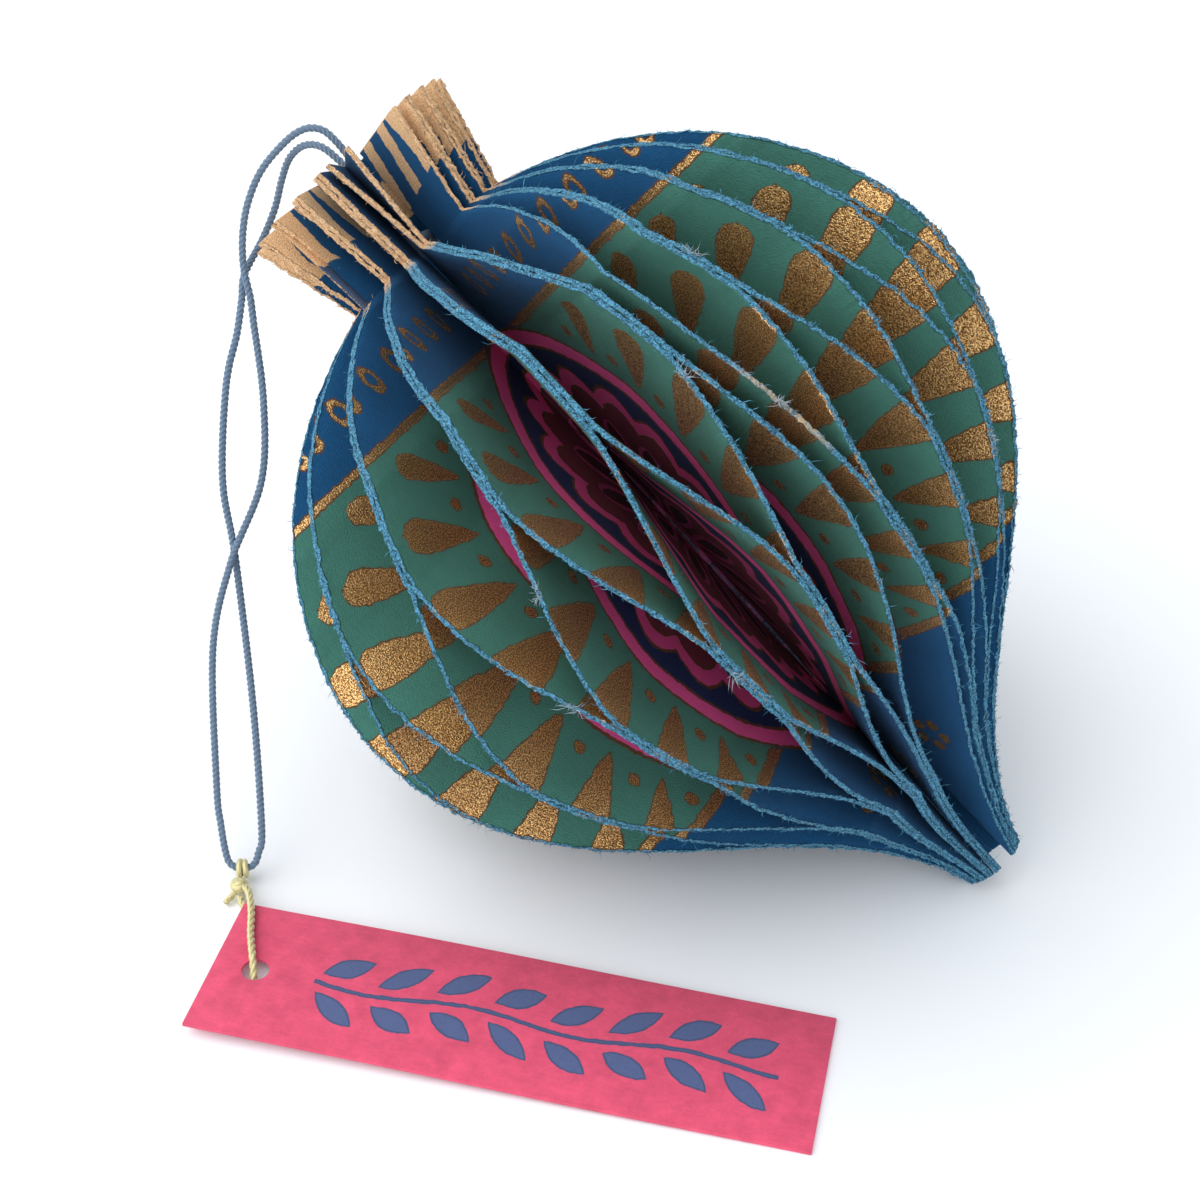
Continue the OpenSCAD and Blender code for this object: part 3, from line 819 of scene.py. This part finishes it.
def add_leaf(i, stations, material, paper):
    """A grid rolled up into a flat sleeve, closed at both ends, and bent as the glue rows bend the paper"""
    points, s, r, margin, section = shape_leaf(i, stations, paper)
    rows, round_about = points.shape[:2]
    piece = added(bpy.ops.mesh.primitive_grid_add, x_subdivisions=rows - 1, y_subdivisions=round_about,
                  size=2)
    piece.name = piece.data.name = "paper_leaf_%02d" % (i + 1)
    mesh = piece.data
    at = np.empty(len(mesh.vertices) * 3)
    mesh.vertices.foreach_get("co", at)
    at = at.reshape(-1, 3)
    row = np.round((at[:, 0] + 1) / 2 * (rows - 1)).astype(int)
    place = np.round((at[:, 1] + 1) / 2 * round_about).astype(int) % round_about
    mesh.vertices.foreach_set("co", points[row, place].ravel())
    at_rim = (np.abs(section[:, 1]) < 0.9).astype(float)
    note(piece, margin=margin[row, place], rim=at_rim[place], leaf=np.full(len(row), i + 1.0),
         sheet_s=s[row, place], sheet_r=r[row, place])
    # Close the sleeve along the spine and at its ends
    bpy.ops.object.mode_set(mode="EDIT")
    bpy.ops.mesh.select_all(action="SELECT")
    bpy.ops.mesh.remove_doubles(threshold=1e-7)
    bpy.ops.mesh.select_mode(type="EDGE")
    bpy.ops.mesh.select_all(action="DESELECT")
    bpy.ops.mesh.select_non_manifold()
    bpy.ops.mesh.fill()
    bpy.ops.mesh.select_all(action="SELECT")
    bpy.ops.mesh.normals_make_consistent(inside=False)
    bpy.ops.object.mode_set(mode="OBJECT")
    mesh = piece.data
    corner = np.empty(len(mesh.loops), int)
    mesh.loops.foreach_get("vertex_index", corner)
    flat = np.empty((2, len(mesh.vertices)))
    for k, name in enumerate(("sheet_s", "sheet_r")):
        mesh.attributes[name].data.foreach_get("value", flat[k])
        mesh.attributes.remove(mesh.attributes[name])
    while mesh.uv_layers:
        mesh.uv_layers.remove(mesh.uv_layers[0])
    mesh.uv_layers.new(name="sheet").uv.foreach_set("vector", (flat[:, corner].T / UV_MM).ravel())
    mesh.materials.append(material)
    mesh.shade_smooth()
    bpy.ops.object.shade_smooth_by_angle(angle=math.radians(50), keep_sharp_edges=False)
    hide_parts("leaf_%02d" % (i + 1))
    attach(piece, "root")
    return piece, points


# Torn places with a tuft of fibres: the leaf's number and the distance down from the neck
TUFTS = ((32, 36.7), (31, 48.6), (33, 58.2), (3, 22.0), (1, 39.5), (36, 30.0), (5, 61.0), (28, 55.0))
TUFT_FIBRES, TUFT_LONGER = 26, 2.4
# Length, bend and radius of the loose fibres, how far their roots are sunk, and their kinds for the colour
FIBRE_L, FIBRE_MAX_L, FIBRE_BEND, FIBRE_R = 0.0003, 0.0024, 0.8, (0.000026, 0.000044)
FIBRE_SUNK = 0.00012
BLUE_FIBRE, CAP_FIBRE, TUFT_FIBRE = 0.0, 1.0, 2.0


def edge_fibres(i, points, s, count, rng):
    """Loose fibres that stand out of a leaf's cut edge, each a thin cone bent once"""
    middle = len(ACROSS) + 1
    rim, inner = points[:, middle], points[:, len(ACROSS) - 3]
    side = points[:, len(ACROSS) + 3] - points[:, len(ACROSS) - 1]
    along = unit(np.gradient(rim, axis=0))
    out = unit(rim - inner)
    rows = [(int(row), 1.0) for row in rng.integers(2, len(rim) - 2, count)]
    for leaf, at in TUFTS:
        if leaf == i + 1:
            torn = int(np.abs(s - at).argmin())
            rows += [(torn + int(k), TUFT_LONGER) for k in rng.integers(-2, 3, TUFT_FIBRES)]
    made, faces, kind = [], [], []
    for row, longer in rows:
        base = rim[row] + side[row] * rng.uniform(-0.55, 0.55) - out[row] * FIBRE_SUNK
        way = unit(out[row] * rng.uniform(0.15, 0.9) + along[row] * rng.uniform(-1, 1)
                   + unit(side[row]) * rng.uniform(-0.8, 0.8))
        length = min((rng.exponential(FIBRE_L) + FIBRE_L) * longer, FIBRE_MAX_L)
        bend = unit(way + unit(rng.normal(size=3)) * FIBRE_BEND)
        thick = rng.uniform(*FIBRE_R)
        one = unit(np.cross(way, along[row] + out[row] * 0.3))
        two = np.cross(way, one)
        first = len(made)
        for at, r in ((base, thick), (base + way * length * 0.5, thick * 0.8)):
            for a in (0, 2 * math.pi / 3, 4 * math.pi / 3):
                made.append(at + r * (math.cos(a) * one + math.sin(a) * two))
        made.append(base + (way + bend) * length * 0.5)
        faces.append((first + 2, first + 1, first))
        for j in range(3):
            after = (j + 1) % 3
            faces.append((first + j, first + after, first + after + 3, first + j + 3))
            faces.append((first + j + 3, first + after + 3, first + 6))
        own = TUFT_FIBRE if longer > 1 else CAP_FIBRE if s[row] < 0.8 else BLUE_FIBRE
        kind += [own] * (len(made) - first)
    return made, faces, kind


def loose_fibre():
    c = bpy.context.scene.bauble_colours
    d = Drawing("loose_fibre", Roughness=0.9, Specular_IOR_Level=0.15)
    patch = d.grain(d.place(), 900, 2)
    kind = d.attribute("kind")
    tint = d.mix(tinted(c.edge, 0.7), tinted(c.edge, 1.7), patch.over(0.54, 0.25))
    tint = d.mix(tint, c.cap_edge, kind.near(CAP_FIBRE, 0.5))
    d.wear("Base Color", d.mix(tint, c.tuft, kind.over(1.5)))
    return d.material


# Operators


class BAUBLE_OT_camera(bpy.types.Operator):
    """Set the camera at the photograph's angle"""
    bl_idname = "bauble.camera"
    bl_label = "Camera"

    def execute(self, context):
        azimuth, elevation, roll = (math.radians(a) for a in (AZIMUTH, ELEVATION, ROLL))
        back = Vector((math.sin(azimuth) * math.cos(elevation), -math.cos(azimuth) * math.cos(elevation),
                       math.sin(elevation)))
        level = Vector((math.cos(azimuth), math.sin(azimuth), 0))
        steep = back.cross(level)
        right = level * math.cos(roll) + steep * math.sin(roll)
        up = steep * math.cos(roll) - level * math.sin(roll)
        lens = bpy.data.cameras.new("camera")
        lens.sensor_width = SENSOR_W
        lens.lens = SENSOR_W * FOCAL_PIXELS / PICTURE_PIXELS
        lens.clip_start, lens.clip_end = 0.01, 20
        camera = bpy.data.objects.new("camera", lens)
        turned = Matrix((right, up, back)).transposed().to_4x4()
        camera.matrix_world = Matrix.Translation(CAMERA_AT) @ turned
        context.scene.collection.objects.link(camera)
        context.scene.camera = camera
        return {"FINISHED"}


class BAUBLE_OT_hanging_cord(bpy.types.Operator):
    """Lay the hanging cord, from the knot in the core to the bend at the tag and back"""
    bl_idname = "bauble.hanging_cord"
    bl_label = "Hanging Cord"

    def execute(self, context):
        cotton = cotton_cord()
        cord, length, centre = twisted_cord(
            "cotton_hanging_cord", CORD, CORD_D, CORD_PLIES, CORD_LAY, cotton, CORD_STEP)
        knot = knot_of_rings("core_knot", CORE_KNOT, CORE_RINGS, CORE_KNOT_R, cotton)
        for piece in (cord, knot):
            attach(piece, "root")
            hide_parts("hanging_cord")
        centre[::2].tolist() + [centre[-1].tolist()]
        return {"FINISHED"}


def knot_of_rings(name, centre, rings, cord_r, material):
    """A knot of several turns of cord, each a ring with its own tilt"""
    made = []
    for major, tilt_x, tilt_z, shift in rings:
        made.append(added(
            bpy.ops.mesh.primitive_torus_add, major_segments=28, minor_segments=8, major_radius=major,
            minor_radius=cord_r, location=Vector(centre) + Vector(shift), rotation=(tilt_x, 0, tilt_z)))
    select_only(*made)
    bpy.ops.object.join()
    knot = active_piece()
    knot.name = knot.data.name = name
    bpy.ops.object.transform_apply(location=True, rotation=True, scale=True)
    knot.data.materials.clear()
    knot.data.materials.append(material)
    knot.data.shade_smooth()
    return knot


class BAUBLE_OT_tag_thread(bpy.types.Operator):
    """Tie the gold thread to the cord and through the tag"""
    bl_idname = "bauble.tag_thread"
    bl_label = "Tag Thread"

    def execute(self, context):
        gold = metallic_thread()
        thread, length, centre = twisted_cord(
            "gold_tag_thread", THREAD, THREAD_D, THREAD_PLIES, THREAD_LAY, gold, THREAD_STEP)
        u = math.radians(WRAP_TURN)
        rings = [(major, math.pi / 2, u + math.pi / 2 + turn, (along * math.cos(u), along * math.sin(u), 0))
                 for major, turn, along in WRAP_RINGS]
        wrap = knot_of_rings("gold_wrap", CORD_BEND, rings, WRAP_R, gold)
        knot = knot_of_rings("gold_knot", THREAD_KNOT, KNOT_RINGS, THREAD_KNOT_R, gold)
        stub, _, _ = twisted_cord(
            "gold_stub", STUB, THREAD_D * 0.9, THREAD_PLIES, THREAD_LAY, gold, THREAD_STEP)
        for piece in (thread, wrap, knot, stub):
            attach(piece, "root")
            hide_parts("tag_thread")
        centre[::2].tolist() + [centre[-1].tolist()]
        return {"FINISHED"}


class BAUBLE_OT_tag(bpy.types.Operator):
    """Cut the card tag, punch it and lay it down"""
    bl_idname = "bauble.tag"
    bl_label = "Tag"

    def execute(self, context):
        card = added(bpy.ops.mesh.primitive_cube_add, size=1, location=(TAG_L / 2, 0, TAG_T / 2),
                     scale=(TAG_L, TAG_W, TAG_T))
        card.name = card.data.name = "crimson_tag"
        bpy.ops.object.transform_apply(location=True, rotation=True, scale=True)
        punch = added(bpy.ops.mesh.primitive_cylinder_add, vertices=56, radius=TAG_HOLE_D / 2, depth=0.004,
                      location=(TAG_HOLE_INSET, 0, 0))
        select_only(card)
        hole = card.modifiers.new("hole", "BOOLEAN")
        hole.operation, hole.object, hole.solver = "DIFFERENCE", punch, "EXACT"
        bpy.ops.object.modifier_apply(modifier="hole")
        bpy.data.objects.remove(punch)
        # Cuts across the card let it curl
        bpy.ops.object.mode_set(mode="EDIT")
        for k in range(1, TAG_CUTS):
            bpy.ops.mesh.select_all(action="SELECT")
            bpy.ops.mesh.bisect(plane_co=(TAG_L * k / TAG_CUTS + TAG_CUT_SHIFT, 0, 0), plane_no=(1, 0, 0))
        bpy.ops.object.mode_set(mode="OBJECT")
        softened = card.modifiers.new("soft edges", "BEVEL")
        softened.width, softened.segments = TAG_SOFT_EDGE, 2
        softened.limit_method, softened.angle_limit = "ANGLE", math.radians(60)
        bpy.ops.object.modifier_apply(modifier="soft edges")
        points = [v.co.copy() for v in card.data.vertices]
        note(card, along=[p.x for p in points], across=[p.y for p in points],
             face=[float(p.z > TAG_T / 2) for p in points])
        for v in card.data.vertices:
            u, side = v.co.x / TAG_L, v.co.y / TAG_W
            v.co.z += (TAG_CURL * math.sin(math.pi * u) ** 2 * (0.4 + side)
                       + TAG_RIPPLE * math.sin(TAG_RIPPLE_TURN * u) * u * (1 - u) * 4)
        place = (Matrix.Translation((*TAG_HOLE, 0))
                 @ Matrix.Rotation(math.radians(TAG_TURN), 4, "Z")
                 @ Matrix.Translation((TAG_L - TAG_HOLE_INSET, 0, 0))
                 @ Matrix.Rotation(math.radians(TAG_LIFT), 4, "Y")
                 @ Matrix.Translation((-TAG_L, 0, 0)))
        card.data.transform(place)
        card.data.materials.clear()
        card.data.materials.append(tag_card())
        select_only(card)
        bpy.ops.object.shade_smooth_by_angle(angle=math.radians(40), keep_sharp_edges=False)
        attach(card, "root")
        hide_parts("tag")
        return {"FINISHED"}


class BAUBLE_OT_leaves(bpy.types.Operator):
    """Bend all the printed paper leaves"""
    bl_idname = "bauble.leaves"
    bl_label = "Leaves"

    def execute(self, context):
        paper = context.scene.bauble_paper
        material = printed_paper()
        stations = outline_stations(paper.stations)
        rng = np.random.default_rng(FIBRE_SEED)
        hairs, hair_faces, kinds = [], [], []
        for i in range(LEAVES):
            piece, points = add_leaf(i, stations, material, paper)
            made, faces, kind = edge_fibres(i, points, stations[0], paper.fibres, rng)
            hair_faces += [[len(hairs) + k for k in face] for face in faces]
            hairs += made
            kinds += kind
            low, high = (Vector(p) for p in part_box("leaf_%02d" % (i + 1)))
            at = np.array([v.co[:] for v in piece.data.vertices])
            if max(abs(at.min(0) - low).max(), abs(at.max(0) - high).max()) > PLACE_PLAY:
                raise RuntimeError("%s doesn't lie where its solid does" % piece.name)
        hairs = np.array(hairs)
        hairs[:, 2] = np.maximum(hairs[:, 2], 0)
        fringe = mesh_piece("edge_fibres", hairs, hair_faces, loose_fibre())
        note(fringe, kind=kinds)
        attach(fringe, "root")
        return {"FINISHED"}


class BAUBLE_OT_stage(bpy.types.Operator):
    """Lay the pale floor and set the lamps"""
    bl_idname = "bauble.stage"
    bl_label = "Stage"

    def execute(self, context):
        stage = context.scene.bauble_stage
        floor = added(bpy.ops.mesh.primitive_plane_add, size=FLOOR_W, location=(0, 0, 0))
        floor.name = "floor"
        d = Drawing("pale_floor", Roughness=0.9, Specular_IOR_Level=0.2)
        d.wear("Base Color", linear(*FLOOR_COLOUR))
        floor.data.materials.append(d.material)
        for name, power, size, place in (
                ("key", stage.key, KEY_SIZE, KEY_AT), ("front", stage.front, FRONT_SIZE, FRONT_AT)):
            lamp = bpy.data.lights.new(name, "AREA")
            lamp.energy, lamp.size = power, size
            placed = bpy.data.objects.new(name, lamp)
            placed.location = place
            placed.rotation_euler = (Vector(place) - Vector(LIT_POINT)).to_track_quat("Z", "Y").to_euler()
            context.scene.collection.objects.link(placed)
        world = bpy.data.worlds.new("soft_sky")
        context.scene.world = world
        world.use_nodes = True
        tree = world.node_tree
        light = tree.nodes["Background"]
        light.inputs["Color"].default_value = (*SKY_TINT, 1)
        light.inputs["Strength"].default_value = stage.sky
        seen = tree.nodes.new("ShaderNodeBackground")
        seen.inputs["Color"].default_value = (1, 1, 1, 1)
        ray, choice = tree.nodes.new("ShaderNodeLightPath"), tree.nodes.new("ShaderNodeMixShader")
        tree.links.new(ray.outputs["Is Camera Ray"], choice.inputs[0])
        tree.links.new(light.outputs[0], choice.inputs[1])
        tree.links.new(seen.outputs[0], choice.inputs[2])
        tree.links.new(choice.outputs[0], tree.nodes["World Output"].inputs[0])
        context.scene.view_settings.view_transform = "Standard"
        return {"FINISHED"}


class BAUBLE_PT_panel(bpy.types.Panel):
    bl_idname = "BAUBLE_PT_panel"
    bl_label = "Paper Bauble"
    bl_space_type = "VIEW_3D"
    bl_region_type = "UI"
    bl_category = "Bauble"

    def draw(self, context):
        for step in STEPS:
            self.layout.operator(step.bl_idname)
        for group in (context.scene.bauble_paper, context.scene.bauble_stage, context.scene.bauble_colours):
            box = self.layout.box()
            for name in group.__annotations__:
                box.prop(group, name)


STEPS = (BAUBLE_OT_camera, BAUBLE_OT_hanging_cord, BAUBLE_OT_tag_thread, BAUBLE_OT_tag, BAUBLE_OT_leaves,
         BAUBLE_OT_stage)
CLASSES = (BAUBLE_PG_colours, BAUBLE_PG_paper, BAUBLE_PG_stage, *STEPS, BAUBLE_PT_panel)


def register():
    for c in CLASSES:
        bpy.utils.register_class(c)
    bpy.types.Scene.bauble_colours = bpy.props.PointerProperty(type=BAUBLE_PG_colours)
    bpy.types.Scene.bauble_paper = bpy.props.PointerProperty(type=BAUBLE_PG_paper)
    bpy.types.Scene.bauble_stage = bpy.props.PointerProperty(type=BAUBLE_PG_stage)


def unregister():
    del bpy.types.Scene.bauble_stage, bpy.types.Scene.bauble_paper, bpy.types.Scene.bauble_colours
    for c in reversed(CLASSES):
        bpy.utils.unregister_class(c)


def main():
    register()
    bpy.ops.bauble.camera()
    bpy.ops.bauble.hanging_cord()
    bpy.ops.bauble.tag_thread()
    bpy.ops.bauble.tag()
    bpy.ops.bauble.leaves()
    bpy.ops.bauble.stage()


if __name__ == "__main__":
    main()
